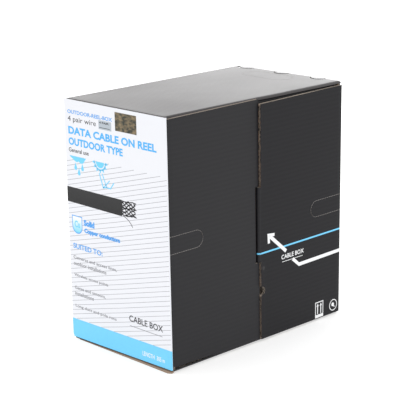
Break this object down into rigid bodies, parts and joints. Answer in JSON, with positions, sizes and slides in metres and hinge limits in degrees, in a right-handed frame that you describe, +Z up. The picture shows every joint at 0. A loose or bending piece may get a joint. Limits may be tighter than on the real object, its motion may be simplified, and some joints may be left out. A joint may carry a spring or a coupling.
{
  "type": "cable spool box",
  "caption": "Upright black carton holding a turning cable reel on an axle, with side doors, tuck tongues, perforated hand tabs and a cable notch.",
  "frame": {"origin": "centre of the footprint, on the surface the carton stands on", "axes": "+Z up; -Y out of the narrow printed label face; +X and -X out of the two large faces closed by doors; the reel turns about X"},
  "size_m": [0.2178, 0.3498, 0.3612],
  "materials": {
    "carton_black": "satin",
    "kraft_board": "matte",
    "kraft_tube": "matte",
    "label_paper": "satin",
    "foil_sticker": "gloss",
    "plain_sticker": "satin",
    "reel_board": "matte",
    "cable_jacket": "satin"
  },
  "bodies": {
    "carton": {"front_panel": "carton_black", "back_panel": "carton_black", "bottom_panel": "carton_black", "top_panel": "carton_black", "glue_flap": "kraft_board", "front_label": "label_paper", "hologram_sticker": "foil_sticker", "spec_sticker": "plain_sticker", "axle_tube": "kraft_tube", "top_inner_flap_right": "carton_black", "top_inner_flap_left": "carton_black", "bottom_inner_flap_right": "carton_black", "bottom_inner_flap_left": "carton_black", "axle_plate_right": "kraft_board", "axle_plate_left": "kraft_board", "axle_spacer_right": "kraft_tube", "axle_spacer_left": "kraft_tube"},
    "carry_tab": {"carry_hole_tab": "carton_black"},
    "reel": {"reel_flange_right": "reel_board", "reel_flange_left": "reel_board", "reel_barrel": "kraft_tube", "cable_winding": "cable_jacket"},
    "front_door_right": {"front_door_right": "carton_black"},
    "back_door_right": {"back_door_right": "carton_black", "tuck_tongue_right": "carton_black"},
    "hand_tab_front_right": {"hand_tab_front_right": "carton_black"},
    "hand_tab_back_right": {"hand_tab_back_right": "carton_black"},
    "front_door_left": {"front_door_left": "carton_black"},
    "back_door_left": {"back_door_left": "carton_black", "tuck_tongue_left": "carton_black"},
    "hand_tab_front_left": {"hand_tab_front_left": "carton_black"},
    "hand_tab_back_left": {"hand_tab_back_left": "carton_black"}
  },
  "joints": [
    {"name": "front_door_right_hinge", "type": "hinge", "parent": "carton", "child": "front_door_right", "pos_m": [0.105, -0.1737, 0.18], "axis": [0, 0, -1], "range_deg": [0, 170]},
    {"name": "back_door_right_hinge", "type": "hinge", "parent": "carton", "child": "back_door_right", "pos_m": [0.105, 0.1749, 0.18], "axis": [0, 0, 1], "range_deg": [0, 170]},
    {"name": "hand_tab_front_right_crease", "type": "hinge", "parent": "front_door_right", "child": "hand_tab_front_right", "pos_m": [0.101, -0.1692, 0.1836], "axis": [0, 0, 1], "range_deg": [0, 16]},
    {"name": "hand_tab_back_right_crease", "type": "hinge", "parent": "back_door_right", "child": "hand_tab_back_right", "pos_m": [0.1011, 0.1703, 0.1765], "axis": [0, 0, -1], "range_deg": [0, 16]},
    {"name": "front_door_left_hinge", "type": "hinge", "parent": "carton", "child": "front_door_left", "pos_m": [-0.105, -0.1737, 0.18], "axis": [0, 0, 1], "range_deg": [0, 170]},
    {"name": "back_door_left_hinge", "type": "hinge", "parent": "carton", "child": "back_door_left", "pos_m": [-0.105, 0.1749, 0.18], "axis": [0, 0, -1], "range_deg": [0, 170]},
    {"name": "hand_tab_front_left_crease", "type": "hinge", "parent": "front_door_left", "child": "hand_tab_front_left", "pos_m": [-0.101, -0.1692, 0.1836], "axis": [0, 0, -1], "range_deg": [0, 16]},
    {"name": "hand_tab_back_left_crease", "type": "hinge", "parent": "back_door_left", "child": "hand_tab_back_left", "pos_m": [-0.1011, 0.1703, 0.1765], "axis": [0, 0, 1], "range_deg": [0, 16]},
    {"name": "carry_tab_crease", "type": "hinge", "parent": "carton", "child": "carry_tab", "pos_m": [-0.012, 0.157, 0.356], "axis": [1, 0, 0], "range_deg": [0, 80]},
    {"name": "reel_spin", "type": "hinge", "parent": "carton", "child": "reel", "pos_m": [0, 0, 0.18], "axis": [1, 0, 0], "continuous": true}
  ]
}
